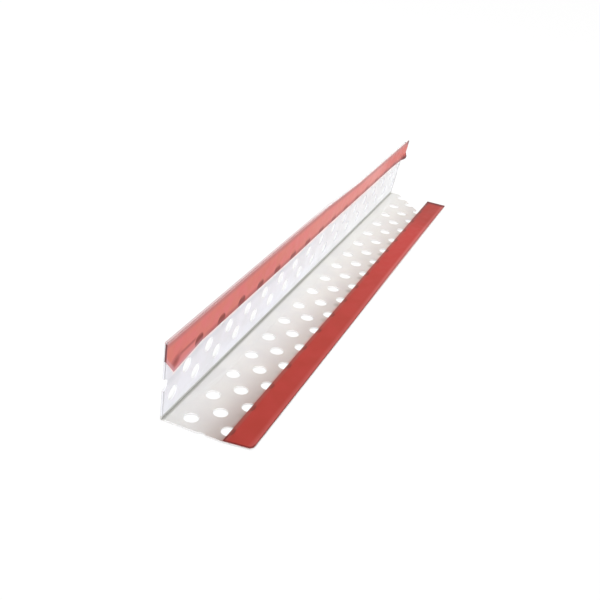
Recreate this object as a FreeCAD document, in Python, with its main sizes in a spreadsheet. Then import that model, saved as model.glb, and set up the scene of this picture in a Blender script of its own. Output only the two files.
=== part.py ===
"""Short length of perforated corner bead: a thin angle with staggered holes and a tape on each leg.

The inner corner line is the Y axis of the bodies, with the base leg's inner face in the XY plane.
The bead is drawn from its near end and then set down with its middle over the origin.
"""
import FreeCAD, Part
import os
import Sketcher

doc = FreeCAD.newDocument("corner_bead")

# Driving dimensions in millimetres and degrees, each with what it measures
SIZES = {
    "length": (200.0, "length along the corner"),
    "base_width": (25.3, "inner face of the base leg, from the corner to its free edge"),
    "upright_width": (25.4, "inner face of the upright leg, from the corner to its free edge"),
    "wall": (0.5, "thickness of both legs"),
    "included_angle": (85.0, "angle between the inner faces"),
    "heel_radius": (0.3, "rounding of the outer corner"),
    "groove_reach": (0.5, "hinge groove on each inner face, from the corner"),
    "groove_depth": (0.25, "hinge groove below the inner corner, towards the heel"),
    "hole_diameter": (4.0, "perforation"),
    "hole_pitch": (12.0, "distance between holes along a row"),
    "first_row": (6.1, "corner to the centres of the first row"),
    "row_spacing": (5.4, "distance between rows across a leg"),
    "first_hole": (4.4, "near end to the first whole hole of the base"),
    "upright_lag": (0.5, "holes of the upright nearer to the near end by this much"),
    "near_lean": (3.4, "near end of the upright runs forward by this much at its free edge"),
    "far_lean": (2.4, "far end of the upright runs back by this much at its free edge"),
    "narrowing": (1.55, "far part of the upright trimmed narrower by this much"),
    "narrowing_from": (105.0, "near end to where the upright starts to narrow"),
    "narrowing_run": (34.0, "length over which the upright narrows"),
    "tear_start": (3.7, "corner to the start of the tear at the base leg's far end"),
    "tear_run": (15.5, "far end to where the tear meets the base tape"),
    "base_snip": (1.0, "near end of the base leg and its tape cut back by this much at their free edge"),
    "corner_radius": (1.5, "rounded near corner of the base leg and its tape"),
    "tape_thickness": (0.25, "both tapes, with their liner"),
    "base_tape_width": (7.9, "base tape, from the leg's free edge inwards"),
    "upright_tape_width": (9.45, "upright tape, measured up the leg"),
    "upright_tape_inset": (0.45, "bare rim above the upright tape"),
    "far_rim": (0.1, "bare rim above the upright tape where the leg is narrower"),
    "tape_tip_drop": (2.2, "near lower tip of the upright tape hangs lower by this much"),
    "tape_tip_from": (2.4, "near end to the near lower tip of the upright tape"),
    "tape_tip_run": (14.0, "length over which the lower edge rises from that tip"),
    "tape_snip": (6.0, "height of the upright tape's slanting near cut"),
    "tape_overhang": (4.8, "far end of the upright tape beyond the leg's end"),
}

size = doc.addObject("Spreadsheet::Sheet", "size")
for row, (alias, (value, meaning)) in enumerate(SIZES.items(), start=1):
    size.set(f"A{row}", meaning)
    size.set(f"B{row}", str(value))
    size.setAlias(f"B{row}", alias)
doc.recompute()

# Measures that several pieces share, as expressions in the driving dimensions
CUT_MARGIN = "size.wall * 2"
TILT = "size.included_angle * 1deg"
HALF_TILT = "size.included_angle * 0.5deg"
STOCK_LENGTH = "(size.near_lean + size.length + size.far_lean)"
FAR_WIDTH = "(size.upright_width - size.narrowing)"
NARROW_END = "(size.narrowing_from + size.narrowing_run)"
BASE_TAPE_EDGE = "(size.base_width - size.base_tape_width)"
UPRIGHT_TAPE_TOP = "(size.upright_width - size.upright_tape_inset)"
UPRIGHT_TAPE_EDGE = f"({UPRIGHT_TAPE_TOP} - size.upright_tape_width)"
FAR_TAPE_TOP = f"({FAR_WIDTH} - size.far_rim)"
HEEL_REACH = f"(size.wall / tan({HALF_TILT}))"

# Point numbers of a sketch's lines and circles, and the geometry and point number of its own origin
START, END, CENTRE = 1, 2, 3
SKETCH_ORIGIN = (-1, START)

# How close a point lies to a line that it belongs to
TOUCH = 1e-4


def value_of(expression):
    """Number that an expression in the driving dimensions gives."""
    result = size.evalExpression(expression)
    return float(getattr(result, "Value", result))


def near_edge(height):
    """Where the near end of the upright lies along the corner, at a height up the leg."""
    return f"-size.near_lean * ({height}) / size.upright_width"


def far_edge(height):
    """Where the far end of the upright lies along the corner, at a height up the leg."""
    return f"size.length + size.far_lean * ({height}) / size.upright_width"


def far_tape_edge(height):
    """Where the far end of the upright tape lies along the corner, at a height up the leg."""
    return f"{far_edge(height)} + size.tape_overhang"


def origin_feature(body, role):
    """One of a body's own planes or axes."""
    return next(item for item in body.Origin.OriginFeatures if item.Role == role)


def new_body(label):
    """Empty body, set down so that the whole bead's box stands centred over the origin."""
    body = doc.addObject("PartDesign::Body", label)
    body.Label = label
    body.setExpression("Placement.Base.x", f"({HEEL_REACH} - size.base_width) / 2")
    body.setExpression("Placement.Base.y", f"(size.near_lean - ({far_tape_edge(FAR_TAPE_TOP)})) / 2")
    body.setExpression("Placement.Base.z", "size.wall")
    return body


def leg_sketch(body, name, upright):
    """Sketch on a leg's inner face: X runs from the corner across the leg, Y along the corner."""
    sketch = body.newObject("Sketcher::SketchObject", name)
    sketch.AttachmentSupport = [(origin_feature(body, "XY_Plane"), "")]
    sketch.MapMode = "FlatFace"
    if upright:
        towards_upright = FreeCAD.Rotation(FreeCAD.Vector(0, -1, 0), value_of("size.included_angle"))
        sketch.AttachmentOffset = FreeCAD.Placement(FreeCAD.Vector(), towards_upright)
        sketch.setExpression("AttachmentOffset.Rotation.Angle", TILT)
    return sketch


def hold(sketch, kind, first, second, expression):
    """Dimension between two points of a sketch, bound to an expression."""
    number = sketch.addConstraint(Sketcher.Constraint(kind, *first, *second, value_of(expression)))
    sketch.setExpression(f"Constraints[{number}]", expression)


def outline(sketch, corners):
    """Closed straight outline whose corners are held at expressions for X and Y."""
    places = [FreeCAD.Vector(value_of(across), value_of(along), 0) for across, along in corners]
    first = sketch.GeometryCount
    for number, place in enumerate(places):
        following = places[(number + 1) % len(places)]
        sketch.addGeometry(Part.LineSegment(place, following))
    for number, (across, along) in enumerate(corners):
        following = first + (number + 1) % len(corners)
        sketch.addConstraint(Sketcher.Constraint("Coincident", first + number, END, following, START))
        hold(sketch, "DistanceX", SKETCH_ORIGIN, (first + number, START), across)
        hold(sketch, "DistanceY", SKETCH_ORIGIN, (first + number, START), along)


def hole_circle(sketch, across, along):
    """Circle for one perforation, held at expressions for X and Y."""
    centre = FreeCAD.Vector(value_of(across), value_of(along), 0)
    upwards = FreeCAD.Vector(0, 0, 1)
    number = sketch.addGeometry(Part.Circle(centre, upwards, value_of("size.hole_diameter / 2")))
    hold(sketch, "DistanceX", SKETCH_ORIGIN, (number, CENTRE), across)
    hold(sketch, "DistanceY", SKETCH_ORIGIN, (number, CENTRE), along)
    diameter = sketch.addConstraint(Sketcher.Constraint("Diameter", number, value_of("size.hole_diameter")))
    sketch.setExpression(f"Constraints[{diameter}]", "size.hole_diameter")


def cut_leg(body, name, sketch, upright):
    """Cut through one leg from its inner face to its outer face."""
    pocket = body.newObject("PartDesign::Pocket", name)
    pocket.Profile = sketch
    pocket.Type = "ThroughAll"
    pocket.Reversed = upright
    return pocket


def pad(body, name, sketch, length, backwards):
    """Solid raised from a sketch by an expression for its length."""
    feature = body.newObject("PartDesign::Pad", name)
    feature.Profile = sketch
    feature.Reversed = backwards
    feature.setExpression("Length", length)
    return feature


def round_edges(body, name, base, radius, belongs):
    """Fillet on the edges of a feature that a test of their end points picks."""
    doc.recompute()
    picked = []
    for number, edge in enumerate(base.Shape.Edges, start=1):
        if all(belongs(vertex.Point) for vertex in edge.Vertexes):
            picked.append(f"Edge{number}")
    fillet = body.newObject("PartDesign::Fillet", name)
    fillet.Base = (base, picked)
    fillet.setExpression("Radius", radius)
    return fillet


# Angle: the section along the whole stock, with a hinge groove in its inner corner
angle = new_body("perforated_angle")
section = angle.newObject("Sketcher::SketchObject", "section")
section.AttachmentSupport = [(origin_feature(angle, "XZ_Plane"), "")]
section.MapMode = "FlatFace"
section.setExpression("AttachmentOffset.Base.z", "size.near_lean")
outline(section, [
    ("size.groove_reach", "0"),
    ("size.base_width", "0"),
    ("size.base_width", "-size.wall"),
    (f"-{HEEL_REACH}", "-size.wall"),
    (
        f"size.upright_width * cos({TILT}) - size.wall * sin({TILT})",
        f"size.upright_width * sin({TILT}) + size.wall * cos({TILT})",
    ),
    (f"size.upright_width * cos({TILT})", f"size.upright_width * sin({TILT})"),
    (f"size.groove_reach * cos({TILT})", f"size.groove_reach * sin({TILT})"),
    (f"-size.groove_depth * cos({HALF_TILT})", f"-size.groove_depth * sin({HALF_TILT})"),
])
stock = pad(angle, "stock", section, STOCK_LENGTH, True)


def on_heel(point):
    """Whether a point lies on the sharp outer corner line."""
    return abs(point.x + value_of(HEEL_REACH)) < TOUCH and abs(point.z + value_of("size.wall")) < TOUCH


round_edges(angle, "heel", stock, "size.heel_radius", on_heel)

# Base leg: near end snipped back beside the tape, far end torn along a slanting line of holes up to it
base_ends = leg_sketch(angle, "base_ends", False)
outline(base_ends, [
    (f"-{CUT_MARGIN}", "0"),
    (f"-{CUT_MARGIN}", f"-size.near_lean - {CUT_MARGIN}"),
    (f"size.base_width + {CUT_MARGIN}", f"-size.near_lean - {CUT_MARGIN}"),
    (f"size.base_width + {CUT_MARGIN}", "size.base_snip"),
    ("size.base_width", "size.base_snip"),
    (BASE_TAPE_EDGE, "0"),
])
outline(base_ends, [
    (f"-{CUT_MARGIN}", "size.length"),
    ("size.tear_start", "size.length"),
    (BASE_TAPE_EDGE, "size.length - size.tear_run"),
    (BASE_TAPE_EDGE, "size.length"),
    (f"size.base_width + {CUT_MARGIN}", "size.length"),
    (f"size.base_width + {CUT_MARGIN}", f"{STOCK_LENGTH} + {CUT_MARGIN}"),
    (f"-{CUT_MARGIN}", f"{STOCK_LENGTH} + {CUT_MARGIN}"),
])
base_trim = cut_leg(angle, "base_trim", base_ends, False)


def on_near_corner(point):
    """Whether a point lies on the base leg's free near corner."""
    return (
        abs(point.x - value_of("size.base_width")) < TOUCH
        and abs(point.y - value_of("size.base_snip")) < TOUCH
    )


round_edges(angle, "base_corner", base_trim, "size.corner_radius", on_near_corner)

# Upright leg: ends cut out of square by hand, and its far part trimmed narrower
upright_ends = leg_sketch(angle, "upright_ends", True)
outline(upright_ends, [
    (f"-{CUT_MARGIN}", "0"),
    (f"-{CUT_MARGIN}", f"-size.near_lean - {CUT_MARGIN}"),
    ("size.upright_width", f"-size.near_lean - {CUT_MARGIN}"),
    ("size.upright_width", near_edge("size.upright_width")),
    ("0", "0"),
])
outline(upright_ends, [
    (f"-{CUT_MARGIN}", "size.length"),
    ("0", "size.length"),
    (FAR_WIDTH, far_edge(FAR_WIDTH)),
    (FAR_WIDTH, NARROW_END),
    ("size.upright_width", "size.narrowing_from"),
    (f"size.upright_width + {CUT_MARGIN}", "size.narrowing_from"),
    (f"size.upright_width + {CUT_MARGIN}", f"{STOCK_LENGTH} + {CUT_MARGIN}"),
    (f"-{CUT_MARGIN}", f"{STOCK_LENGTH} + {CUT_MARGIN}"),
])
cut_leg(angle, "upright_trim", upright_ends, True)

# Perforation of both legs: outer rows in step, the middle row half a pitch behind
SECOND_ROW = "size.first_row + size.row_spacing"
THIRD_ROW = "size.first_row + 2 * size.row_spacing"
for leg, upright in (("base", False), ("upright", True)):
    start = "size.first_hole - size.upright_lag" if upright else "size.first_hole"
    rows = {
        "outer_rows": (["size.first_row", THIRD_ROW], start),
        "middle_row": ([SECOND_ROW], f"{start} - size.hole_pitch / 2"),
    }
    for name, (distances, first_centre) in rows.items():
        circles = leg_sketch(angle, f"{leg}_{name}_circles", upright)
        for distance in distances:
            hole_circle(circles, distance, first_centre)
        first_holes = cut_leg(angle, f"{leg}_{name}_first", circles, upright)
        holes = angle.newObject("PartDesign::LinearPattern", f"{leg}_{name}")
        holes.Originals = [first_holes]
        holes.Direction = (origin_feature(angle, "Y_Axis"), [""])
        holes.Mode = "Spacing"
        holes.setExpression("Offset", "size.hole_pitch")
        holes.setExpression("Occurrences", f"floor((size.length - ({first_centre})) / size.hole_pitch) + 1")
        angle.Tip = holes
        doc.recompute()

# Base tape: flush with the leg's free edge, as long as the corner
base_tape = new_body("base_tape")
base_shape = leg_sketch(base_tape, "base_shape", False)
outline(base_shape, [
    (BASE_TAPE_EDGE, "0"),
    ("size.base_width", "size.base_snip"),
    ("size.base_width", "size.length"),
    (BASE_TAPE_EDGE, "size.length"),
])
base_strip = pad(base_tape, "base_strip", base_shape, "size.tape_thickness", False)
round_edges(base_tape, "base_strip_corner", base_strip, "size.corner_radius", on_near_corner)

# Upright tape: under a bare rim, snipped at its near end, with a loose far end past the leg's end
upright_tape = new_body("upright_tape")
upright_shape = leg_sketch(upright_tape, "upright_shape", True)
SNIP_TOP = f"{UPRIGHT_TAPE_EDGE} - size.tape_tip_drop + size.tape_snip"
outline(upright_shape, [
    (f"{UPRIGHT_TAPE_EDGE} - size.tape_tip_drop", "size.tape_tip_from"),
    (SNIP_TOP, near_edge(SNIP_TOP)),
    (UPRIGHT_TAPE_TOP, near_edge(UPRIGHT_TAPE_TOP)),
    (UPRIGHT_TAPE_TOP, "size.narrowing_from"),
    (FAR_TAPE_TOP, NARROW_END),
    (FAR_TAPE_TOP, far_tape_edge(FAR_TAPE_TOP)),
    (UPRIGHT_TAPE_EDGE, far_tape_edge(UPRIGHT_TAPE_EDGE)),
    (UPRIGHT_TAPE_EDGE, "size.tape_tip_from + size.tape_tip_run"),
])
pad(upright_tape, "upright_strip", upright_shape, "size.tape_thickness", True)
doc.recompute()

# Nothing is written unless every object is sound
bodies = [angle, base_tape, upright_tape]
for item in doc.Objects:
    if "Invalid" in item.State or "Error" in item.State:
        raise RuntimeError(f"{item.Label} failed: {item.State}")
for body in bodies:
    if body.Shape.isNull() or not body.Shape.isValid() or len(body.Shape.Solids) != 1:
        raise RuntimeError(f"{body.Label} is not one sound solid")

os.makedirs("parts", exist_ok=True)
for body in bodies:
    body.Shape.exportStep(f"parts/{body.Label}.step")
    box = body.Shape.BoundBox
    print(f"{body.Label}: volume {body.Shape.Volume:.1f}, faces {len(body.Shape.Faces)}, box {box}")
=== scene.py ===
import math

import bmesh
import bpy
from mathutils import Color, Matrix, Vector


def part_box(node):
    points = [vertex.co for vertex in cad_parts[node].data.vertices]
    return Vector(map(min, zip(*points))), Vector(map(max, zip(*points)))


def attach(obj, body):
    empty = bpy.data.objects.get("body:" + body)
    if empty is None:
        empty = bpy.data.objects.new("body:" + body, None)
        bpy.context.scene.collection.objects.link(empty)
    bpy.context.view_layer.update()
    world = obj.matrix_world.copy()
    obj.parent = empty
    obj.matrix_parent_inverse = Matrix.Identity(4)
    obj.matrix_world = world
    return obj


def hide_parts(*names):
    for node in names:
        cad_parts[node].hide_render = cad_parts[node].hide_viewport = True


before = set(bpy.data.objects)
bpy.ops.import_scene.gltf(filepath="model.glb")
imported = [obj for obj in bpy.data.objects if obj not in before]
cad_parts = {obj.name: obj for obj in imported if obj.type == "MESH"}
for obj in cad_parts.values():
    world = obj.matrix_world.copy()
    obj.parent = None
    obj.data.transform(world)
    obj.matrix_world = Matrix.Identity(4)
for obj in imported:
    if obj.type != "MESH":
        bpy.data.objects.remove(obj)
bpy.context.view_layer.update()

# Perforated angle: the bead itself, a thin strip of white rigid vinyl extruded as two legs that meet in a
# thinned hinge line, with three staggered rows of holes punched through each leg for the filler to key into.
# The punch rolls the vinyl over at each hole's inner rim. The bead was snipped and torn to length by hand.
MM = 0.001
base_width = 25.3 * MM
upright_width = 25.4 * MM
bead_length = 200 * MM
wall = 0.5 * MM
included_angle = math.radians(85)
near_lean = 3.4 * MM
far_lean = 2.4 * MM
hole_radius = 2.0 * MM
hole_pitch = 12 * MM
holes_in_a_row = 17
row_count = 3
row_spacing = 5.4 * MM
rows_to_a_repeat = 2
row_stagger = 0.5
first_row = 6.1 * MM
first_hole = 4.4 * MM
upright_lag = 0.5 * MM
inner_rim = 0.12 * MM
outer_rim = 0.1 * MM
rim_steps = 3
quarter_turn = math.radians(90)
punch_lip = 0.02 * MM
hole_sides = 32
punch_merge = 0.001 * MM
strip_merge = 0.0005 * MM
vinyl_smooth_angle = math.radians(13)

angle_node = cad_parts["perforated_angle"]
angle_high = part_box("perforated_angle")[1]
flat_tape_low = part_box("base_tape")[0]
near_corner = Vector((angle_high.x - base_width, flat_tape_low.y, flat_tape_low.z))


class Leg:
    """One leg of the bead, with places given across it, along it and proud of its inner face."""

    def __init__(self, lean, inward, first_along):
        self.lean = lean
        self.across = Vector((math.cos(lean), 0, math.sin(lean)))
        self.inward = inward
        self.first_along = first_along

    def point(self, across, along, lift=0.0):
        return near_corner + self.across * across + Vector((0, along, 0)) + self.inward * lift


base_leg = Leg(0.0, Vector((0, 0, 1)), first_hole)
room_side = Vector((math.sin(included_angle), 0, -math.cos(included_angle)))
upright_leg = Leg(included_angle, room_side, first_hole - upright_lag)


def add_node(tree, kind, inputs=None, **settings):
    """Node of a tree with its settings, each input set to a value or joined to another node's output."""
    node = tree.nodes.new(kind)
    for name, value in settings.items():
        setattr(node, name, value)
    for name, value in (inputs or {}).items():
        if isinstance(value, bpy.types.NodeSocket):
            tree.links.new(value, node.inputs[name])
        else:
            node.inputs[name].default_value = value
    return node


def calculate(tree, operation, first, second=0.0, third=0.0):
    """Output of a math node on numbers or other outputs."""
    inputs = {0: first, 1: second, 2: third}
    return add_node(tree, "ShaderNodeMath", inputs, operation=operation).outputs[0]


def product(tree, first, *others):
    """Output of several numbers or outputs multiplied together."""
    for other in others:
        first = calculate(tree, "MULTIPLY", first, other)
    return first


def new_tree(name, kind, inputs, outputs):
    """Node group with named sockets, its input node and a function that joins its outputs."""
    tree = bpy.data.node_groups.new(name, kind)
    for direction, sockets in (("INPUT", inputs), ("OUTPUT", outputs)):
        for socket, socket_type in sockets.items():
            tree.interface.new_socket(socket, in_out=direction, socket_type=f"NodeSocket{socket_type}")
    given = tree.nodes.new("NodeGroupInput").outputs
    result = tree.nodes.new("NodeGroupOutput").inputs

    def put_out(found):
        for socket, output in found.items():
            tree.links.new(output, result[socket])

    return tree, given, put_out


def show(name, mesh):
    """Object in the scene for a mesh whose place is in its points."""
    piece = bpy.data.objects.new(name, mesh)
    bpy.context.scene.collection.objects.link(piece)
    return piece


def turned_punch():
    """Punch as a turned body: straight through the middle, flared where it rolls the rims over."""
    turns = [quarter_turn * step / rim_steps for step in range(rim_steps + 1)]
    profile = [(0.0, inner_rim)]
    for turn in turns:
        profile.append((hole_radius + inner_rim * (1 - math.sin(turn)), inner_rim * (math.cos(turn) - 1)))
    for turn in turns:
        radius = hole_radius + outer_rim * (1 - math.cos(turn))
        profile.append((radius, outer_rim * (1 - math.sin(turn)) - wall))
    profile.append((0.0, -wall - inner_rim))
    solid = bmesh.new()
    points = []
    for radius, height in profile:
        lip = punch_lip if height > -wall / 2 else -punch_lip
        points.append(solid.verts.new((radius, 0, height + lip)))
    edges = [solid.edges.new(pair) for pair in zip(points, points[1:])]
    bmesh.ops.spin(solid, geom=points + edges, axis=(0, 0, 1), cent=(0, 0, 0), steps=hole_sides,
                   angle=math.tau, use_merge=True)
    bmesh.ops.remove_doubles(solid, verts=solid.verts, dist=punch_merge)
    bmesh.ops.recalc_face_normals(solid, faces=solid.faces)
    mesh = bpy.data.meshes.new("punch")
    solid.to_mesh(mesh)
    solid.free()
    return show("punch", mesh)


# Rows of punches on one leg, every second row set back by half a pitch, and the strip that they cut
tree, given, put_out = new_tree(
    "punched_rows", "GeometryNodeTree",
    {"Strip": "Geometry", "Punch": "Object", "Rows": "Int", "Holes In A Row": "Int", "First Row": "Float",
     "Row Spacing": "Float", "First Hole": "Float", "Pitch": "Float", "Corner": "Vector", "Lean": "Vector",
     "Punch Turn": "Vector", "Vinyl": "Material"},
    {"Strip": "Geometry"})
number = add_node(tree, "GeometryNodeInputIndex").outputs[0]
row = calculate(tree, "FLOOR", calculate(tree, "DIVIDE", number, given["Holes In A Row"]))
place_in_row = calculate(tree, "MODULO", number, given["Holes In A Row"])
stagger = product(tree, calculate(tree, "MODULO", row, rows_to_a_repeat), row_stagger)
across = calculate(tree, "MULTIPLY_ADD", row, given["Row Spacing"], given["First Row"])
pitches_along = calculate(tree, "SUBTRACT", place_in_row, stagger)
along = calculate(tree, "MULTIPLY_ADD", pitches_along, given["Pitch"], given["First Hole"])
place = add_node(tree, "ShaderNodeCombineXYZ", {"X": across, "Y": along}).outputs[0]
count = product(tree, given["Rows"], given["Holes In A Row"])
points = add_node(tree, "GeometryNodePoints", {"Count": count, "Position": place}).outputs[0]
punch_shape = add_node(tree, "GeometryNodeObjectInfo", {"Object": given["Punch"]}).outputs["Geometry"]
punches = add_node(tree, "GeometryNodeInstanceOnPoints",
                   {"Points": points, "Instance": punch_shape, "Rotation": given["Punch Turn"]}).outputs[0]
on_the_leg = add_node(tree, "GeometryNodeTransform", {
    "Geometry": punches, "Translation": given["Corner"], "Rotation": given["Lean"]}).outputs[0]
cutters = add_node(tree, "GeometryNodeRealizeInstances", {"Geometry": on_the_leg}).outputs[0]
punched = add_node(tree, "GeometryNodeMeshBoolean", {"Mesh 1": given["Strip"], "Mesh 2": cutters},
                   operation="DIFFERENCE", solver="MANIFOLD").outputs["Mesh"]
whole = add_node(tree, "GeometryNodeRealizeInstances", {"Geometry": punched}).outputs[0]
finished = add_node(tree, "GeometryNodeSetMaterial", {"Geometry": whole, "Material": given["Vinyl"]})
put_out({"Strip": finished.outputs[0]})
punched_rows = tree


def linear(*steps):
    """Socket value of a red, green and blue that are written in the 0 to 255 steps of a picture."""
    full_step = 255
    colour = Color([step / full_step for step in steps])
    return (*colour.from_srgb_to_scene_linear(), 1.0)


def new_material(name):
    """Node material, its tree, its surface shader and the place on the piece that its patterns read."""
    material = bpy.data.materials.new(name)
    material.use_nodes = True
    tree = material.node_tree
    shader = tree.nodes["Principled BSDF"]
    where = add_node(tree, "ShaderNodeTexCoord").outputs["Object"]
    return material, tree, shader, where


whole_range = (0.0, 1.0)
falling = (1.0, 0.0)


def in_mm(first, second):
    """Two sizes or places that are written in millimetres."""
    return first * MM, second * MM


def ramp(tree, value, over, shares=whole_range):
    """Output that goes smoothly from one share to another as a value crosses a span."""
    inputs = {"Value": value, "From Min": over[0], "From Max": over[1],
              "To Min": shares[0], "To Max": shares[1]}
    return add_node(tree, "ShaderNodeMapRange", inputs, interpolation_type="SMOOTHSTEP").outputs[0]


def distance(tree, first, second):
    """Output of the distance that two offsets at right angles make."""
    squares = [product(tree, offset, offset) for offset in (first, second)]
    return calculate(tree, "SQRT", calculate(tree, "ADD", *squares))


def blend(tree, share, first, second):
    """Colour between two colours, by the sockets of a mix node that take and give colours."""
    inputs = {0: share, 6: first, 7: second}
    return add_node(tree, "ShaderNodeMix", inputs, data_type="RGBA").outputs[2]


def tinted(tree, colour, tint, *shares):
    """Colour with a tint laid over it, as strongly as its shares multiplied together."""
    return blend(tree, product(tree, *shares), colour, tint)


def add_noise(tree, places, detail):
    """Output of a noise whose patches are about as large as a unit of the places."""
    return add_node(tree, "ShaderNodeTexNoise", {"Vector": places, "Scale": 1.0, "Detail": detail}).outputs[0]


# Uneven tone that the vinyl, the films and the glue show: broad soft patches and a finer mottle
patch_detail = 2.0
mottle_detail = 4.0
noise_range = (0.33, 0.67)
tree, given, put_out = new_tree(
    "uneven_tone", "ShaderNodeTree",
    {"Vector": "Vector", "Broad": "Float", "Fine": "Float"}, {"Patches": "Float", "Mottle": "Float"})
tones = {}
for output, size, detail in (("Patches", "Broad", patch_detail), ("Mottle", "Fine", mottle_detail)):
    places = add_node(tree, "ShaderNodeVectorMath", {0: given["Vector"], 3: given[size]}, operation="SCALE")
    tones[output] = ramp(tree, add_noise(tree, places.outputs[0], detail), noise_range)
put_out(tones)
uneven_tone = tree


def add_uneven_tone(tree, where, patch_size, mottle_size):
    """Outputs of the uneven tone group, with patches and mottle of these sizes."""
    inputs = {"Vector": where, "Broad": 1 / patch_size, "Fine": 1 / mottle_size}
    return add_node(tree, "ShaderNodeGroup", inputs, node_tree=uneven_tone).outputs


# Places on a leg: how far across and along a point lies, and whether it is within a punched hole's circle
tree, given, put_out = new_tree(
    "leg_places", "ShaderNodeTree",
    {"Vector": "Vector", "Corner": "Vector", "Across Way": "Vector", "First Row": "Float",
     "Row Spacing": "Float", "First Hole": "Float", "Pitch": "Float", "Radius": "Float", "Softness": "Float"},
    {"In Hole": "Float", "Across": "Float", "Along": "Float"})
from_corner = add_node(tree, "ShaderNodeVectorMath", {0: given["Vector"], 1: given["Corner"]},
                       operation="SUBTRACT").outputs[0]
across = add_node(tree, "ShaderNodeVectorMath", {0: from_corner, 1: given["Across Way"]},
                  operation="DOT_PRODUCT").outputs["Value"]
along = add_node(tree, "ShaderNodeSeparateXYZ", {0: from_corner}).outputs["Y"]
past_first_row = calculate(tree, "SUBTRACT", across, given["First Row"])
nearest_row = calculate(tree, "ROUND", calculate(tree, "DIVIDE", past_first_row, given["Row Spacing"]))
row = calculate(tree, "MAXIMUM", 0.0, calculate(tree, "MINIMUM", nearest_row, row_count - 1))
stagger = product(tree, calculate(tree, "MODULO", row, rows_to_a_repeat), row_stagger)
past_first_hole = calculate(tree, "SUBTRACT", along, given["First Hole"])
place_in_row = calculate(tree, "ADD", stagger, calculate(tree, "DIVIDE", past_first_hole, given["Pitch"]))
pitches_off = calculate(tree, "SUBTRACT", place_in_row, calculate(tree, "ROUND", place_in_row))
along_miss = product(tree, given["Pitch"], pitches_off)
row_across = calculate(tree, "MULTIPLY_ADD", row, given["Row Spacing"], given["First Row"])
across_miss = calculate(tree, "SUBTRACT", across, row_across)
soft_rim = (calculate(tree, "SUBTRACT", given["Radius"], given["Softness"]),
            calculate(tree, "ADD", given["Radius"], given["Softness"]))
inside = ramp(tree, distance(tree, along_miss, across_miss), soft_rim, falling)
put_out({"In Hole": inside, "Across": across, "Along": along})
leg_places = tree


def add_leg_places(tree, where, leg, radius, softness, shift=0.0, pitch=hole_pitch):
    """Outputs of the places group for one leg, with circles of a radius on the punched rows."""
    inputs = {"Vector": where, "Corner": near_corner, "Across Way": leg.across, "First Row": first_row,
              "Row Spacing": row_spacing, "First Hole": leg.first_along - shift, "Pitch": pitch,
              "Radius": radius, "Softness": softness}
    return add_node(tree, "ShaderNodeGroup", inputs, node_tree=leg_places).outputs


# White vinyl: its tones are placed by how far a point lies from the near end of the corner
vinyl_patch = 9 * MM
vinyl_mottle = 1.6 * MM
corner_turn = in_mm(0.3, 1.5)
vinyl, tree, shader, where = new_material("white_vinyl")
tone = add_uneven_tone(tree, where, vinyl_patch, vinyl_mottle)
from_corner = add_node(tree, "ShaderNodeVectorMath", {0: where, 1: near_corner},
                       operation="SUBTRACT").outputs[0]
across, along, height = add_node(tree, "ShaderNodeSeparateXYZ", {0: from_corner}).outputs
on_the_upright = ramp(tree, height, corner_turn)
on_the_base = ramp(tree, height, corner_turn, falling)

# Leg whites in soft patches, with painted light: cool upright, warm base, both changing towards the far end
upright_near_white = linear(243, 242, 248)
upright_far_white = linear(245, 245, 244)
upright_change = in_mm(60, 150)
base_near_white = linear(240, 239, 233)
base_far_white = linear(232, 231, 226)
base_change = in_mm(90, 190)
patch_white = linear(229, 228, 227)
patch_share = 0.5
upright_white = blend(tree, ramp(tree, along, upright_change), upright_near_white, upright_far_white)
base_white = blend(tree, ramp(tree, along, base_change), base_near_white, base_far_white)
leg_white = blend(tree, on_the_base, upright_white, base_white)
colour = tinted(tree, leg_white, patch_white, tone["Patches"], patch_share)

# Painted shade on the base leg's inner face, stronger towards the tape and the near end
base_shade_tone = linear(192, 179, 173)
base_shade_across = in_mm(4, 18.5)
base_shade_gather = 1.8
base_shade_near = in_mm(5, 50)
base_shade_near_shares = (0.93, 0.62)
base_shade_far = in_mm(70, 125)
base_shade_far_shares = (1.0, 0.65)
inner_face_depth = in_mm(-0.1, -0.02)
inner_face = product(tree, on_the_base, ramp(tree, height, inner_face_depth))
toward_tape = calculate(tree, "POWER", ramp(tree, across, base_shade_across), base_shade_gather)
near_base_shade = ramp(tree, along, base_shade_near, base_shade_near_shares)
far_base_shade = ramp(tree, along, base_shade_far, base_shade_far_shares)
colour = tinted(tree, colour, base_shade_tone, inner_face, toward_tape, near_base_shade, far_base_shade)

# Painted pink light that the base tape throws on the vinyl right beside it
near_tape_bounce = linear(206, 138, 128)
far_tape_bounce = linear(236, 140, 128)
tape_bounce_change = in_mm(12, 45)
tape_bounce_across = in_mm(16.4, 17.3)
tape_bounce_shares = (0.0, 0.4)
tape_bounce_tone = blend(tree, ramp(tree, along, tape_bounce_change), near_tape_bounce, far_tape_bounce)
colour = tinted(tree, colour, tape_bounce_tone, inner_face, ramp(tree, across, tape_bounce_across, tape_bounce_shares))

# Grey patches at the base tape's edge, each just before a hole of the row that the tape covers
spot_grey = linear(150, 143, 132)
spot_radius = 1.1 * MM
spot_softness = 0.9 * MM
spot_shift = 4.3 * MM
spot_across = in_mm(14.6, 15.6)
spot_near = in_mm(62, 85)
spot_near_shares = (0.12, 0.5)
spot_far = in_mm(125, 165)
spot_far_shares = (1.0, 0.4)
spots = add_leg_places(tree, where, base_leg, spot_radius, spot_softness, spot_shift)["In Hole"]
spot_along = product(tree, ramp(tree, along, spot_near, spot_near_shares),
                       ramp(tree, along, spot_far, spot_far_shares))
beside_tape = ramp(tree, across, spot_across)
colour = tinted(tree, colour, spot_grey, inner_face, spots, spot_along, beside_tape)
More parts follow.
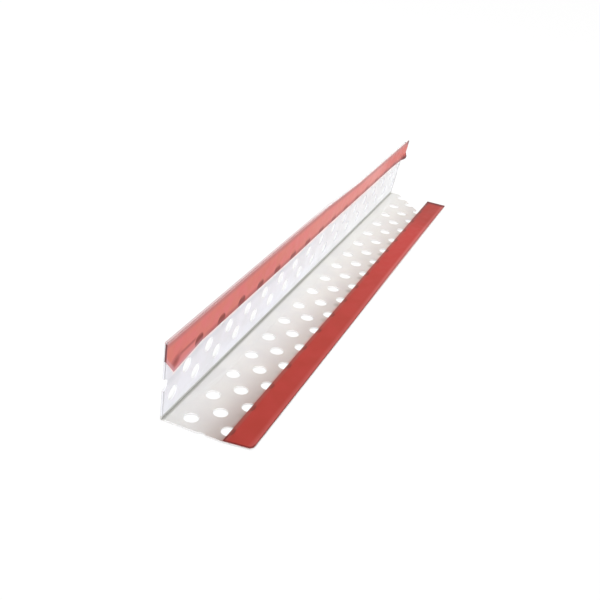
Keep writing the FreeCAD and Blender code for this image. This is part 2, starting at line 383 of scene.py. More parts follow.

# Painted shade in the hinge groove
groove_grey = linear(196, 195, 190)
groove_lift = 0.3 * MM
groove_reach = in_mm(0.42, 1.07)
groove_far = in_mm(85, 120)
groove_far_shares = (1.0, 0.9)
above_groove = calculate(tree, "SUBTRACT", height, groove_lift)
groove_shade = ramp(tree, distance(tree, across, above_groove), groove_reach, falling)
colour = tinted(tree, colour, groove_grey, groove_shade, ramp(tree, along, groove_far, groove_far_shares))

# Painted highlight on the upright's free edge, painted pink over the near half, where the tape shows through
# it
painted_light_white = linear(254, 254, 254)
edge_height = in_mm(20, 22)
edge_along = in_mm(60, 95)
edge_shares = (0.4, 1.0)
shine_through_pink = linear(212, 158, 156)
pink_height = in_mm(24.6, 24.9)
pink_height_shares = (0.0, 0.9)
pink_along = in_mm(80, 120)
pink_top = in_mm(25.2, 25.3)
pink_top_shares = (1.0, 0.65)
colour = tinted(tree, colour, painted_light_white, ramp(tree, height, edge_height),
                ramp(tree, along, edge_along, edge_shares))
colour = tinted(tree, colour, shine_through_pink, ramp(tree, height, pink_height, pink_height_shares),
                ramp(tree, along, pink_along, falling), ramp(tree, height, pink_top, pink_top_shares))

# Painted soft shade and a pale fringe below the upright tape, whose lower edge drops to a tip at the near end
tip_along = 2.4 * MM
risen = 16.4 * MM
tip_drop = 2.2 * MM
tip_height = 13.2 * MM
shade_grey = linear(200, 201, 203)
shade_start = in_mm(0.4, 1.0)
shade_end = in_mm(1.6, 4.0)
shade_along = in_mm(70, 100)
shade_shares = (0.3, 0.1)
fringe_white = linear(255, 236, 231)
fringe_depth = in_mm(0.45, 1.0)
fringe_shares = (0.9, 0.0)
fringe_top = in_mm(-1.5, -1.0)
fringe_along = in_mm(1.5, 3.5)
past_tip = calculate(tree, "SUBTRACT", along, tip_along)
tape_rise = calculate(tree, "MINIMUM", 1.0, calculate(tree, "DIVIDE", past_tip, risen - tip_along))
tape_low = calculate(tree, "MULTIPLY_ADD", tape_rise, tip_drop, tip_height)
below_tape = calculate(tree, "SUBTRACT", tape_low, height)
colour = tinted(tree, colour, shade_grey, ramp(tree, below_tape, shade_start),
                ramp(tree, below_tape, shade_end, falling), ramp(tree, along, shade_along, shade_shares))
colour = tinted(tree, colour, fringe_white, ramp(tree, below_tape, fringe_depth, fringe_shares),
                ramp(tree, below_tape, fringe_top), ramp(tree, along, fringe_along))

# Painted shade on the upright's cut ends: at the near end only along its two edges, at the far end all over
end_shade_grey = linear(188, 188, 188)
inner_edge_lift = in_mm(-0.16, -0.06)
outer_edge_lift = in_mm(-0.44, -0.34)
near_end_shade = in_mm(0.15, 0.7)
near_end_shade_shares = (0.9, 0.0)
far_end_shade = in_mm(0.8, 2.4)
far_end_shade_shares = (0.8, 0.0)
end_shade_height = in_mm(0.6, 1.5)
lift = add_node(tree, "ShaderNodeVectorMath", {0: from_corner, 1: upright_leg.inward},
                operation="DOT_PRODUCT").outputs["Value"]
both_edges = calculate(tree, "MAXIMUM", ramp(tree, lift, inner_edge_lift),
                       ramp(tree, lift, outer_edge_lift, falling))
from_near_end = calculate(tree, "MULTIPLY_ADD", height, near_lean / upright_width, along)
far_end = calculate(tree, "MULTIPLY_ADD", height, far_lean / upright_width, bead_length)
from_far_end = calculate(tree, "SUBTRACT", far_end, along)
near_cut = product(tree, both_edges, ramp(tree, from_near_end, near_end_shade, near_end_shade_shares))
far_cut = ramp(tree, from_far_end, far_end_shade, far_end_shade_shares)
cut_ends = calculate(tree, "MAXIMUM", near_cut, far_cut)
colour = tinted(tree, colour, end_shade_grey, cut_ends, ramp(tree, height, end_shade_height))

# Walls of the upright's holes, painted as lit near the near end and greyer, as shade, towards the far end
far_wall_grey = linear(228, 229, 232)
wall_change = in_mm(70, 115)
wall_softness = 0.03 * MM
hole_walls = add_leg_places(tree, where, upright_leg, hole_radius + inner_rim, wall_softness)["In Hole"]
wall_light_and_shade = blend(tree, ramp(tree, along, wall_change), painted_light_white, far_wall_grey)
colour = tinted(tree, colour, wall_light_and_shade, hole_walls, on_the_upright)
tree.links.new(colour, shader.inputs["Base Color"])

# Satin surface with fine streaks along the bead from the die
streak_width = 0.7 * MM
streak_length = 60 * MM
streak_detail = 3.0
streak_bump = {"Strength": 0.25, "Distance": 0.03 * MM}
vinyl_roughness = (0.38, 0.5)
vinyl_finish = {"Specular IOR Level": 0.12, "Subsurface Weight": 0.6, "Subsurface Radius": (1.0, 1.0, 1.0),
                "Subsurface Scale": 1.0 * MM}
streak_scale = (1 / streak_width, 1 / streak_length, 1 / streak_width)
streak_places = add_node(tree, "ShaderNodeMapping", {"Vector": where, "Scale": streak_scale}).outputs[0]
streaks = add_noise(tree, streak_places, streak_detail)
ripple = add_node(tree, "ShaderNodeBump", {"Height": streaks, **streak_bump})
tree.links.new(ripple.outputs[0], shader.inputs["Normal"])
tree.links.new(ramp(tree, tone["Mottle"], whole_range, vinyl_roughness), shader.inputs["Roughness"])
for socket, value in vinyl_finish.items():
    shader.inputs[socket].default_value = value


def merged_copy(node):
    """Closed mesh of a node, with the loose triangles joined at their points."""
    solid = bmesh.new()
    solid.from_mesh(node.data)
    bmesh.ops.remove_doubles(solid, verts=solid.verts, dist=strip_merge)
    mesh = bpy.data.meshes.new(node.name + "_strip")
    solid.to_mesh(mesh)
    solid.free()
    return mesh


def set_inputs(modifier, values):
    """Inputs of a Geometry Nodes modifier, found by name and set by identifier."""
    for item in modifier.node_group.interface.items_tree:
        if item.in_out == "INPUT" and item.name in values:
            modifier[item.identifier] = values[item.name]


def made_plain(piece, name):
    """New object with the mesh that a piece's modifiers give, in place of the piece."""
    evaluated = piece.evaluated_get(bpy.context.evaluated_depsgraph_get())
    mesh = bpy.data.meshes.new_from_object(evaluated)
    mesh.name = name
    bpy.data.objects.remove(piece)
    return show(name, mesh)


# The rolled rims are on the inner faces, so the upright's punch is turned over
punch = turned_punch()
strip = show("vinyl_strip", merged_copy(angle_node))
for leg, punch_turn in ((base_leg, 0.0), (upright_leg, math.pi)):
    punching = strip.modifiers.new("punched_rows", "NODES")
    punching.node_group = punched_rows
    set_inputs(punching, {
        "Punch": punch, "Rows": row_count, "Holes In A Row": holes_in_a_row, "First Row": first_row,
        "Row Spacing": row_spacing, "First Hole": leg.first_along, "Pitch": hole_pitch,
        "Corner": near_corner, "Lean": (0.0, -leg.lean, 0.0), "Punch Turn": (punch_turn, 0.0, 0.0),
        "Vinyl": vinyl})
punched_angle = made_plain(strip, "punched_angle")
punched_angle.data.shade_smooth()
punched_angle.data.set_sharp_from_angle(angle=vinyl_smooth_angle)
bpy.data.objects.remove(punch)
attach(punched_angle, "root")
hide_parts("perforated_angle")

# Base tape: a strip of double-sided tape along the base leg's free edge, still under its red film liner. The
# film is a thin glossy sheet on a paler layer of glue, both slit at the factory and cut off with the bead.
base_tape_width = 7.9 * MM
tape_thickness = 0.25 * MM
glue_thickness = 0.12 * MM
glue_back = 0.08 * MM
film_sink = 0.01 * MM
edge_roll = 0.05 * MM
corner_radius = 1.5 * MM
corner_steps = 5
edge_offsets = [offset * MM for offset in (0.0, 0.06, 0.2, 0.5, 1.0)]
end_offsets = edge_offsets[:-1]
end_inset = 0.004 * MM
full_spread_width = 2.4 * MM
inner_columns = 8
station_step = 1.0 * MM
ripple_margin = 1.5 * MM
film_ripples = ((0.016 * MM, 23 * MM, 17 * MM), (0.008 * MM, 7.3 * MM, -5 * MM))
film_smooth_angle = math.radians(30)
fold_shade = 0.85
kept_at_points = ("edge_distance", "low_distance", "high_distance", "shade")
film_index = 0
glue_index = 1


def rounded_corner(before, corner, after):
    """Points of an arc that rounds a corner between its neighbours."""
    before, corner, after = Vector(before), Vector(corner), Vector(after)
    back = (before - corner).normalized()
    ahead = (after - corner).normalized()
    half = back.angle(ahead) / 2
    middle = corner + (back + ahead).normalized() * (corner_radius / math.sin(half))
    start = corner + back * (corner_radius / math.tan(half)) - middle
    end = corner + ahead * (corner_radius / math.tan(half)) - middle
    shares = [step / corner_steps for step in range(corner_steps + 1)]
    return [tuple(middle + start.slerp(end, share) * corner_radius) for share in shares]


def outline_distance(place, corners):
    """Distance from a place to the nearest edge of an outline."""
    place = Vector(place)
    nearest = []
    for start, end in zip(corners, corners[1:] + corners[:1]):
        start, side = Vector(start), Vector(end) - Vector(start)
        share = max(0.0, min(1.0, (place - start).dot(side) / side.length_squared))
        nearest.append((place - start - side * share).length)
    return min(nearest)


def crossing(corners, along):
    """Lowest and highest places across the leg where an outline crosses a station."""
    found = []
    for (across, start), (next_across, end) in zip(corners, corners[1:] + corners[:1]):
        if min(start, end) <= along <= max(start, end):
            share = (along - start) / (end - start) if end != start else 0.0
            found.append(across + (next_across - across) * share)
            if end == start:
                found.append(next_across)
    return min(found), max(found)


def spread(low, high):
    """Columns between two edges, closer together beside the edges."""
    scale = min(1.0, (high - low) / full_spread_width)
    left = [low + offset * scale for offset in edge_offsets]
    right = [high - offset * scale for offset in reversed(edge_offsets)]
    gap = (right[0] - left[-1]) / inner_columns
    return left + [left[-1] + gap * step for step in range(1, inner_columns)] + right


def film_ripple(across, along):
    """Height of the slight waves in a film that was stuck down by hand."""
    return sum(height * math.sin(math.tau * (along / along_wave + across / across_wave))
               for height, along_wave, across_wave in film_ripples)


def add_layer(solid, leg, corners, bottom, top, lift, ripple, shade, material_index):
    """Closed sheet on a leg inside an outline, with its distances from the edges kept at its points."""
    layers = solid.verts.layers.float
    edge_layer, low_layer, high_layer, shade_layer = [layers[name] for name in kept_at_points]
    stations = {along for across, along in corners}
    first, last = min(stations), max(stations)
    for offset in end_offsets:
        stations |= {first + offset, last - offset}
    count = round((last - first) / station_step)
    stations |= {first + (last - first) * step / count for step in range(1, count)}
    rings = []
    for along in sorted({min(max(along, first + end_inset), last - end_inset) for along in stations}):
        low, high = crossing(corners, along)
        ring = []
        columns = spread(low, high)
        for across in columns + columns[::-1]:
            on_top = len(ring) < len(columns)
            edge = outline_distance((across, along), corners)
            height = bottom
            if on_top:
                height = top - edge_roll * math.exp(-edge / edge_roll)
                height += ripple(across, along) * min(1.0, edge / ripple_margin)
            point = solid.verts.new(leg.point(across, along, height + lift(across, along)))
            point[edge_layer] = edge
            point[low_layer] = across - low
            point[high_layer] = high - across
            point[shade_layer] = shade(across, along)
            ring.append(point)
        rings.append(ring)
    faces = []
    for ring, following in zip(rings, rings[1:]):
        for place in range(len(ring)):
            after = (place + 1) % len(ring)
            faces.append(solid.faces.new((ring[place], ring[after], following[after], following[place])))
    for ring in (rings[0], rings[-1]):
        for place in range(len(ring) // 2 - 1):
            under = len(ring) - 1 - place
            faces.append(solid.faces.new((ring[place], ring[place + 1], ring[under - 1], ring[under])))
    for face in faces:
        face.material_index = material_index
        face.smooth = True


def add_fold(solid, leg, corners, bottom, top):
    """Film turned over an end of the leg, as a thin block that is painted dark as shade."""
    shade_layer = solid.verts.layers.float["shade"]
    rings = []
    for lift in (bottom, top):
        rings.append([solid.verts.new(leg.point(across, along, lift)) for across, along in corners])
        solid.faces.new(rings[-1])
    for point in rings[0] + rings[1]:
        point[shade_layer] = fold_shade
    for place in range(len(corners)):
        after = (place + 1) % len(corners)
        solid.faces.new((rings[0][place], rings[0][after], rings[1][after], rings[1][place]))


def flat(across, along):
    """No lift, no ripple and no shade anywhere."""
    return 0.0


def tape_piece(name, leg, film_corners, glue_corners, materials, lift=flat, shade=flat, fold_corners=()):
    """Tape as one mesh: the glue layer on the leg, the film on the glue and any film folded over an end."""
    solid = bmesh.new()
    for layer in kept_at_points:
        solid.verts.layers.float.new(layer)
    film_bottom = glue_thickness - film_sink
    add_layer(solid, leg, glue_corners, 0.0, glue_thickness, lift, flat, shade, glue_index)
    add_layer(solid, leg, film_corners, film_bottom, tape_thickness, lift, film_ripple, shade, film_index)
    if fold_corners:
        add_fold(solid, leg, fold_corners, -wall / 2, tape_thickness)
    bmesh.ops.recalc_face_normals(solid, faces=solid.faces)
    mesh = bpy.data.meshes.new(name)
    solid.to_mesh(mesh)
    solid.free()
    mesh.set_sharp_from_angle(angle=film_smooth_angle)
    for material in materials:
        mesh.materials.append(material)
    return show(name, mesh)


# Both films are red and glossy, with fine dimples, and painted darker as shade where they cover a hole
film_mottle = 2.2 * MM
film_roughness = (0.3, 0.38)
dimple_bump = {"Strength": 0.08, "Distance": 0.02 * MM}


def film_start(name, leg, mark_radius, mark_softness, patch_size, shift=0.0, pitch=hole_pitch):
    """Film material with the nodes that both films begin with."""
    material, tree, shader, where = new_material(name)
    holes = add_leg_places(tree, where, leg, mark_radius, mark_softness, shift, pitch)
    tone = add_uneven_tone(tree, where, patch_size, film_mottle)
    kept = {}
    for attribute in kept_at_points:
        kept[attribute] = add_node(tree, "ShaderNodeAttribute", attribute_name=attribute).outputs["Fac"]
    tree.links.new(ramp(tree, tone["Mottle"], whole_range, film_roughness), shader.inputs["Roughness"])
    dimples = add_node(tree, "ShaderNodeBump", {"Height": tone["Mottle"], **dimple_bump})
    tree.links.new(dimples.outputs[0], shader.inputs["Normal"])
    return material, tree, shader, holes, tone, kept


# Base film: deep red, lighter over a far stretch, and painted deeper as shade towards the far end
base_mark_radius = 1.85 * MM
base_mark_softness = 0.3 * MM
base_patch = 7 * MM
base_red = linear(191, 70, 60)
base_patch_red = linear(196, 72, 64)
deep_red = linear(148, 24, 12)
deep_along = in_mm(85, 175)
deep_shares = (0.0, 0.27)
light_red = linear(210, 69, 64)
light_start = in_mm(90, 145)
light_shares = (0.0, 0.6)
light_end = in_mm(160, 180)
base_film, tree, shader, holes, tone, kept = film_start(
    "base_film", base_leg, base_mark_radius, base_mark_softness, base_patch)
along = holes["Along"]
from_edge = kept["edge_distance"]
from_inner_edge = kept["low_distance"]
from_outer_edge = kept["high_distance"]
colour = blend(tree, tone["Patches"], base_red, base_patch_red)
colour = tinted(tree, colour, deep_red, ramp(tree, along, deep_along, deep_shares))
colour = tinted(tree, colour, light_red, ramp(tree, along, light_start, light_shares),
                ramp(tree, along, light_end, falling))

# Painted highlight inside the outer edge, painted shade over covered holes, a dull line along the inner edge
highlight_red = linear(222, 132, 128)
band_start = in_mm(70, 125)
band_start_shares = (0.5, 1.0)
band_end = in_mm(160, 185)
band_end_shares = (1.0, 0.7)
band_across = in_mm(0.15, 1.8)
band_across_shares = (0.7, 0.0)
base_hole_shade_red = linear(104, 26, 22)
base_mark_across = in_mm(0.6, 1.6)
base_mark_shares = (0.85, 0.0)
inner_line_red = linear(164, 97, 89)
inner_line_across = in_mm(0.15, 1.5)
inner_line_shares = (0.8, 0.0)
colour = tinted(tree, colour, highlight_red, ramp(tree, along, band_start, band_start_shares),
                ramp(tree, along, band_end, band_end_shares),
                ramp(tree, from_outer_edge, band_across, band_across_shares))
colour = tinted(tree, colour, base_hole_shade_red, holes["In Hole"],
                ramp(tree, from_inner_edge, base_mark_across, base_mark_shares))
colour = tinted(tree, colour, inner_line_red,
                ramp(tree, from_inner_edge, inner_line_across, inner_line_shares))

# Painted shade of cut edges: a line on the outer edge, wider and fainter in the far half, one round the near
# end
cut_shade_red = linear(112, 40, 36)
cut_change = in_mm(80, 115)
cut_shares = (0.75, 0.4)
cut_core = 0.06 * MM
cut_widths = (0.3 * MM, 0.85 * MM)
cut_across = in_mm(0.3, 1.0)
front_along = in_mm(2.0, 3.5)
front_width = in_mm(0.15, 0.7)
front_shares = (0.85, 0.0)
cut_width = ramp(tree, along, cut_change, cut_widths)
outer_cut = product(tree, ramp(tree, along, cut_change, cut_shares), ramp(tree, from_inner_edge, cut_across),
                    ramp(tree, from_edge, (cut_core, cut_width), falling))
front_cut = product(tree, ramp(tree, along, front_along, falling),
                    ramp(tree, from_edge, front_width, front_shares))
colour = tinted(tree, colour, cut_shade_red, calculate(tree, "MAXIMUM", outer_cut, front_cut))

# Darker inner edge near the far end, and the dark far end itself
far_inner_red = linear(120, 56, 58)
far_inner_along = in_mm(160, 182)
far_inner_across = in_mm(0.5, 1.6)
far_inner_shares = (0.5, 0.0)
end_red = linear(104, 34, 34)
end_along = (bead_length - 3.4 * MM, bead_length - 1.4 * MM)
end_shares = (0.0, 0.8)
base_film_gloss = 0.07
colour = tinted(tree, colour, far_inner_red, ramp(tree, along, far_inner_along),
                ramp(tree, from_inner_edge, far_inner_across, far_inner_shares))
colour = tinted(tree, colour, end_red, ramp(tree, along, end_along, end_shares))
tree.links.new(colour, shader.inputs["Base Color"])
shader.inputs["Specular IOR Level"].default_value = base_film_gloss

# Glue: pale and dull
glue_patch = 3 * MM
glue_mottle = 0.5 * MM
glue_cream = linear(255, 241, 236)
glue_shade = linear(252, 234, 228)
glue_roughness = 0.55
glue, tree, shader, where = new_material("pale_glue")
tone = add_uneven_tone(tree, where, glue_patch, glue_mottle)
tree.links.new(blend(tree, tone["Mottle"], glue_cream, glue_shade), shader.inputs["Base Color"])
shader.inputs["Roughness"].default_value = glue_roughness

# Outline of the film: its near outer corner is rounded, its outer edge is drawn in a little over the far half
# and its inner edge runs out a little there
film_edge = base_width - base_tape_width
far_film_edge = film_edge - 0.14 * MM
widens_from = 85 * MM
widens_to = 112 * MM
slack_edge = base_width - 0.22 * MM
slack_from = 85 * MM
slack_full = in_mm(120, 170)
slack_to = 196 * MM
base_snip = 1.0 * MM
film_middle = 21 * MM
near_part = 50 * MM
base_corners = [(film_edge, 0.0)]
base_corners += rounded_corner((film_edge, 0.0), (base_width, base_snip), (base_width, bead_length))
base_corners += [
    (base_width, slack_from), (slack_edge, slack_full[0]), (slack_edge, slack_full[1]),
    (base_width, slack_to), (base_width, bead_length), (far_film_edge, bead_length),
    (far_film_edge, widens_to), (film_edge, widens_from)]
base_glue = []
for across, along in base_corners:
    inward = glue_back if across < film_middle else -glue_back
    onward = glue_back if along < near_part else -glue_back
    base_glue.append((across + inward, along + onward))
base_strip = tape_piece("base_film_tape", base_leg, base_corners, base_glue, (base_film, glue))
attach(base_strip, "root")
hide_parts("base_tape")

# Upright tape: the same tape, film on glue, on the upright leg just under its free edge. Its near end was
# snipped to a slant and its lower near tip hangs down. Its far end runs past the cut leg, with its lower
# corner curled to the room.
tape_overhang = 4.8 * MM
top_edge = upright_width - 0.45 * MM
narrow_top = upright_width - 1.65 * MM
narrow_from = 105 * MM
narrow_to = 139 * MM
glue_low = top_edge - 9.45 * MM
glue_short = 4.5 * MM
glue_tip_short = 1.5 * MM
film_low = glue_low + 0.35 * MM
film_rise = 0.4 * MM
rise_from = 80 * MM
rise_to = 105 * MM
sag_from = 187 * MM
snip_top = glue_low + 3.8 * MM
fold_thickness = 0.06 * MM


def near_edge(height):
    """Where the near end of the upright lies along the corner, at a height up the leg."""
    return -near_lean * height / upright_width


def far_edge(height):
    """Where the far end of the upright tape lies along the corner, at a height up the leg."""
    return bead_length + far_lean * height / upright_width + tape_overhang


# Outline of the film: the lower edge from the hanging tip to the curled corner, the far end with its upper
# tip, and the upper edge, which leaves a narrow bare rim where the leg has narrowed
far_tip = far_edge(narrow_top)
near_top = near_edge(top_edge)
near_snip = near_edge(snip_top)
curled_corner = [in_mm(-0.25, 202.5), in_mm(-0.2, 205.2), in_mm(0.5, 206.1), in_mm(1.8, 206.2)]
end_height = 4 * MM
end_bow = 0.1 * MM
tip_width = 0.8 * MM
tip_slope = 0.5 * MM
bare_rim = 0.15 * MM
bare_from = 75 * MM
bare_drop = 0.05 * MM
bare_until = 150 * MM
bare_end = 182 * MM
film_corners = [
    (film_low - tip_drop, tip_along), (film_low, risen), (film_low, rise_from),
    (film_low + film_rise, rise_to), (film_low + film_rise, sag_from)]
film_corners += [(film_low + height, along) for height, along in curled_corner]
film_corners += [
    (film_low + end_height, far_tip - end_bow), (narrow_top - tip_width, far_tip),
    (narrow_top, far_tip - tip_slope), (narrow_top, bare_end), (narrow_top - bare_rim, bare_until),
    (narrow_top - bare_rim, narrow_to), (top_edge - bare_drop, narrow_from), (top_edge, bare_from),
    (top_edge, near_top), (snip_top, near_snip)]
glue_corners = [
    (glue_low - tip_drop, tip_along), (glue_low, risen), (glue_low, far_edge(glue_low) - glue_short),
    (narrow_top - glue_back, far_tip - glue_tip_short), (narrow_top - glue_back, narrow_to),
    (top_edge - glue_back, narrow_from), (top_edge - glue_back, near_top + glue_back),
    (snip_top, near_snip + glue_back)]
fold_corners = [
    (snip_top, near_snip), (top_edge, near_top),
    (top_edge, near_top - fold_thickness), (snip_top, near_snip - fold_thickness)]

# The curl, and the painted shade of the curled far corner and of the far upper tip
curl_top = 17.7 * MM
curl_lift = 0.85 * MM
curl_along = in_mm(199.5, 205.5)
curl_below = in_mm(0.0, 1.3)
far_darkness = 0.8
dark_corner_along = in_mm(200.5, 203.5)
dark_corner_below = in_mm(0.0, 1.2)
dark_tip_along = in_mm(202.5, 205.3)
dark_tip_across = in_mm(21, 22.6)


def smooth_share(value, over):
    """Share from 0 to 1, eased at both ends, of a value's way across a span."""
    low, high = over
    share = max(0.0, min(1.0, (value - low) / (high - low)))
    return share * share * (3 - 2 * share)


def far_curl(across, along):
    """Lift of the lower far corner off the leg's plane."""
    return curl_lift * smooth_share(along, curl_along) * smooth_share(curl_top - across, curl_below)


def far_shade(across, along):
    """Painted shade of the curled corner and of the far upper tip."""
    corner = smooth_share(along, dark_corner_along) * smooth_share(curl_top - across, dark_corner_below)
    tip = smooth_share(along, dark_tip_along) * smooth_share(across, dark_tip_across)
    return far_darkness * max(corner, tip)


def soft_stroke(tree, places, start, end, width, strength):
    """Share of a soft stroke between two places on a leg, each given across and along it."""
    reach = Vector(end) - Vector(start)
    way = reach.normalized()
    across = calculate(tree, "SUBTRACT", places["Across"], start[0])
    along = calculate(tree, "SUBTRACT", places["Along"], start[1])
    run = calculate(tree, "MULTIPLY_ADD", across, way.x, product(tree, along, way.y))
    miss = calculate(tree, "SUBTRACT", product(tree, across, way.y), product(tree, along, way.x))
    beside = ramp(tree, calculate(tree, "ABSOLUTE", miss), (0.0, width), (strength, 0.0))
    start_end = ramp(tree, run, (-width, width))
    far_end = ramp(tree, run, (reach.length - width, reach.length + width), falling)
    return product(tree, start_end, far_end, beside)


# Upright film: painted a paler red than the base film, for the light that comes through it
upright_mark_radius = 2.15 * MM
upright_mark_softness = 0.25 * MM
upright_patch = 5 * MM
# Painted hole shade is set back and spaced wider than the holes, as it shows at the slant of the view
mark_shift = 1.9 * MM
mark_pitch = 12.45 * MM
upright_red = linear(224, 124, 110)
upright_patch_red = linear(227, 120, 116)
pale_red = linear(242, 166, 156)
pale_start = in_mm(50, 120)
pale_shares = (0.0, 0.35)
pale_end = in_mm(160, 185)
far_red = linear(208, 80, 64)
far_red_along = in_mm(160, 190)
far_red_shares = (0.0, 0.6)
upright_film, tree, shader, holes, tone, kept = film_start(
    "upright_film", upright_leg, upright_mark_radius, upright_mark_softness, upright_patch,
    mark_shift, mark_pitch)
along = holes["Along"]
from_low_edge = kept["low_distance"]
from_top_edge = kept["high_distance"]
colour = blend(tree, tone["Patches"], upright_red, upright_patch_red)
# Painted light over a middle stretch, and painted shade towards the far end
colour = tinted(tree, colour, pale_red, ramp(tree, along, pale_start, pale_shares),
                ramp(tree, along, pale_end, falling))
colour = tinted(tree, colour, far_red, ramp(tree, along, far_red_along, far_red_shares))

# Painted shade of a crease across the hanging tip, duller film below it, and painted shade from the tip to
# the crease
dull_red = linear(222, 134, 140)
dull_start = in_mm(-1.5, 0.5)
dull_end = in_mm(10, 14)
dull_across = in_mm(18.0, 18.4)
dull_shares = (0.35, 0.0)
crease_shade_red = linear(158, 60, 50)
crease_start = in_mm(18.1, 4.4)
crease_end = in_mm(18.4, 12.4)
crease_width = 0.95 * MM
crease_strength = 0.6
tip_shade_red = linear(142, 48, 36)
tip_start = in_mm(15.9, 1.2)
tip_end = in_mm(17.9, 3.9)
tip_stroke_width = 2.5 * MM
tip_strength = 0.85
colour = tinted(tree, colour, dull_red, ramp(tree, along, dull_start), ramp(tree, along, dull_end, falling),
                ramp(tree, holes["Across"], dull_across, dull_shares))
colour = tinted(tree, colour, crease_shade_red,
                soft_stroke(tree, holes, crease_start, crease_end, crease_width, crease_strength))
colour = tinted(tree, colour, tip_shade_red,
                soft_stroke(tree, holes, tip_start, tip_end, tip_stroke_width, tip_strength))

# Painted shade of the covered holes seen through the film, which reaches less far up the film towards the far
# end
hole_shade_red = linear(129, 36, 25)
mark_change = in_mm(30, 75)
mark_lows = (film_low + 2.0 * MM, film_low + 1.3 * MM)
mark_highs = (film_low + 3.6 * MM, film_low + 2.6 * MM)
mark_height_shares = (1.0, 0.15)
mark_start = in_mm(6, 9)
mark_start_shares = (0.15, 1.0)
mark_fade = in_mm(60, 150)
mark_fade_shares = (0.9, 0.5)
mark_heights = (ramp(tree, along, mark_change, mark_lows), ramp(tree, along, mark_change, mark_highs))
colour = tinted(tree, colour, hole_shade_red, holes["In Hole"],
                ramp(tree, holes["Across"], mark_heights, mark_height_shares),
                ramp(tree, along, mark_start, mark_start_shares),
                ramp(tree, along, mark_fade, mark_fade_shares))

# Lower edge: pale where it hangs loose by the near tip, then dark, and darkest towards the far end
low_red = linear(152, 74, 76)
low_width = in_mm(0.4, 2.2)
low_shares = (0.6, 0.0)
loose_along = in_mm(12, 22)
far_low_red = linear(118, 52, 52)
far_low_along = in_mm(150, 182)
far_low_shares = (0.35, 0.0)
loose_pink = linear(214, 160, 166)
loose_width = in_mm(0.4, 1.8)
loose_shares = (0.65, 0.0)
colour = tinted(tree, colour, low_red, ramp(tree, from_low_edge, low_width, low_shares),
                ramp(tree, along, loose_along))
colour = tinted(tree, colour, far_low_red, ramp(tree, from_low_edge, low_width, far_low_shares),
                ramp(tree, along, far_low_along))
colour = tinted(tree, colour, loose_pink, ramp(tree, from_low_edge, loose_width, loose_shares),
                ramp(tree, along, loose_along, falling))

# Upper edge: a mauve line with a pale one outside it; painted shade of the corner, tip and fold over all
mauve = linear(184, 122, 120)
mauve_width = in_mm(0.4, 2.2)
mauve_shares = (0.65, 0.75)
rim_pale = linear(226, 190, 188)
rim_pale_width = in_mm(0.1, 0.5)
rim_pale_shares = (0.5, 0.4)
top_change = in_mm(85, 120)
shaded_red = linear(84, 34, 36)
upright_film_gloss = 0.1
colour = tinted(tree, colour, mauve, ramp(tree, from_top_edge, mauve_width, falling),
                ramp(tree, along, top_change, mauve_shares))
colour = tinted(tree, colour, rim_pale, ramp(tree, from_top_edge, rim_pale_width, falling),
                ramp(tree, along, top_change, rim_pale_shares))
colour = tinted(tree, colour, shaded_red, kept["shade"])
tree.links.new(colour, shader.inputs["Base Color"])
shader.inputs["Specular IOR Level"].default_value = upright_film_gloss
upright_strip = tape_piece("upright_film_tape", upright_leg, film_corners, glue_corners, (upright_film, glue),
                           far_curl, far_shade, fold_corners)
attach(upright_strip, "root")
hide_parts("upright_tape")

# Floor and light: a plain pale table top and a white backdrop, with four large soft lamps. Both look white to
# the camera and in reflections, and light the bead only as a matt table and a dim room would.
floor_reach = 3.0
table_grey = linear(235, 235, 235)
shadow_grey = linear(70, 70, 70)
plain_white = (1.0, 1.0, 1.0, 1.0)
table_glow = 0.97
room_white = linear(255, 252, 248)
room_strength = 0.32
backdrop_strength = 1.0


def seen_directly(tree):
    """Output that is 1 where the camera sees a surface, straight or in a reflection or through glass."""
    seen = add_node(tree, "ShaderNodeLightPath").outputs
    mirrored = calculate(tree, "MAXIMUM", seen["Is Glossy Ray"], seen["Is Transmission Ray"])
    return calculate(tree, "MAXIMUM", seen["Is Camera Ray"], mirrored)


floor_mesh = bpy.data.meshes.new("floor")
floor_corners = [(-floor_reach, -floor_reach, 0.0), (floor_reach, -floor_reach, 0.0),
                 (floor_reach, floor_reach, 0.0), (-floor_reach, floor_reach, 0.0)]
floor_mesh.from_pydata(floor_corners, [], [range(len(floor_corners))])
table = bpy.data.materials.new("white_table")
table.use_nodes = True
tree = table.node_tree
tree.nodes.clear()
matt = add_node(tree, "ShaderNodeBsdfDiffuse", {"Color": table_grey}).outputs[0]
shadowed = add_node(tree, "ShaderNodeBsdfDiffuse", {"Color": shadow_grey}).outputs[0]
glow = add_node(tree, "ShaderNodeEmission", {"Color": plain_white, "Strength": table_glow}).outputs[0]
white = add_node(tree, "ShaderNodeAddShader", {0: shadowed, 1: glow}).outputs[0]
surface = add_node(tree, "ShaderNodeMixShader", {0: seen_directly(tree), 1: matt, 2: white}).outputs[0]
add_node(tree, "ShaderNodeOutputMaterial", {"Surface": surface})
floor_mesh.materials.append(table)
floor = show("floor", floor_mesh)

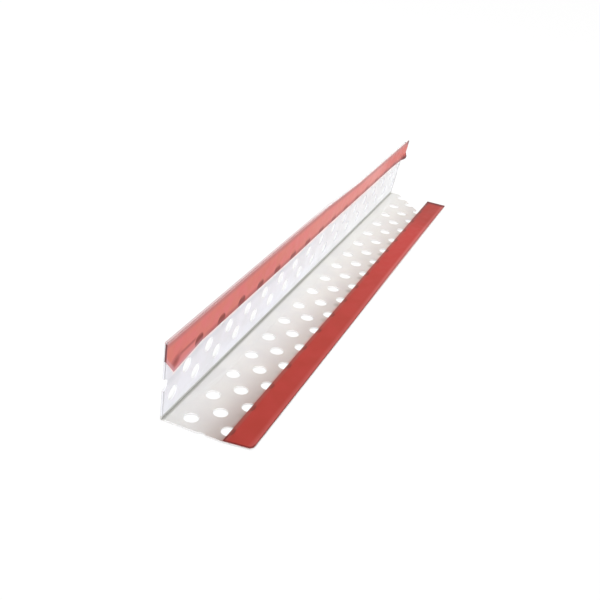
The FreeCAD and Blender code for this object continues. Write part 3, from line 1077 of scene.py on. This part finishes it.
world = bpy.data.worlds.new("studio")
world.use_nodes = True
bpy.context.scene.world = world
tree = world.node_tree
tree.nodes.clear()
room = add_node(tree, "ShaderNodeBackground", {"Color": room_white, "Strength": room_strength}).outputs[0]
backdrop = add_node(tree, "ShaderNodeBackground",
                    {"Color": plain_white, "Strength": backdrop_strength}).outputs[0]
surface = add_node(tree, "ShaderNodeMixShader", {0: seen_directly(tree), 1: room, 2: backdrop}).outputs[0]
add_node(tree, "ShaderNodeOutputWorld", {"Surface": surface})


def soft_lamp(name, place, aim, side, watts, colour):
    """Square area lamp at a place, turned to an aim point."""
    lamp = bpy.data.lights.new(name, "AREA")
    lamp.size = side
    lamp.energy = watts
    lamp.color = colour[:3]
    holder = bpy.data.objects.new(name, lamp)
    holder.location = place
    holder.rotation_euler = (Vector(aim) - Vector(place)).to_track_quat("-Z", "Y").to_euler()
    bpy.context.scene.collection.objects.link(holder)


soft_lamp("front", place=(0.42, -1.42, 0.42), aim=(0.0, 0.0, 0.0), side=0.8, watts=17.0,
          colour=linear(246, 248, 255))
soft_lamp("side", place=(0.55, 0.18, 0.22), aim=(0.0, 0.06, 0.01), side=0.35, watts=1.25,
          colour=linear(228, 241, 254))
soft_lamp("back", place=(-0.42, 0.12, 0.30), aim=(-0.012, 0.02, 0.02), side=0.35, watts=1.0,
          colour=linear(255, 252, 250))
soft_lamp("far_top", place=(0.10, 0.25, 0.36), aim=(0.0, 0.10, 0.0), side=0.3, watts=0.65,
          colour=linear(255, 252, 246))

# Camera: at the photograph's place, above the open side and the near end of the bead, and tipped by a small
# roll. Its place and aim are measured from the near end of the corner.
camera_place = near_corner + Vector((84.92, -151.29, 130.54)) * MM
camera_aim = near_corner + Vector((-1.76, 99.49, -11.00)) * MM
camera_roll = math.radians(7.78)
focal_length = 49.9
sensor_width = 36
nearest_seen = 0.01
lens = bpy.data.cameras.new("camera")
lens.lens = focal_length
lens.sensor_width = sensor_width
lens.clip_start = nearest_seen
camera = bpy.data.objects.new("camera", lens)
camera.location = camera_place
level = (camera_aim - camera_place).to_track_quat("-Z", "Y").to_matrix()
camera.rotation_euler = (level @ Matrix.Rotation(camera_roll, 3, "Z")).to_euler()
bpy.context.scene.collection.objects.link(camera)
bpy.context.scene.camera = camera
bpy.context.scene.view_settings.view_transform = "Standard"
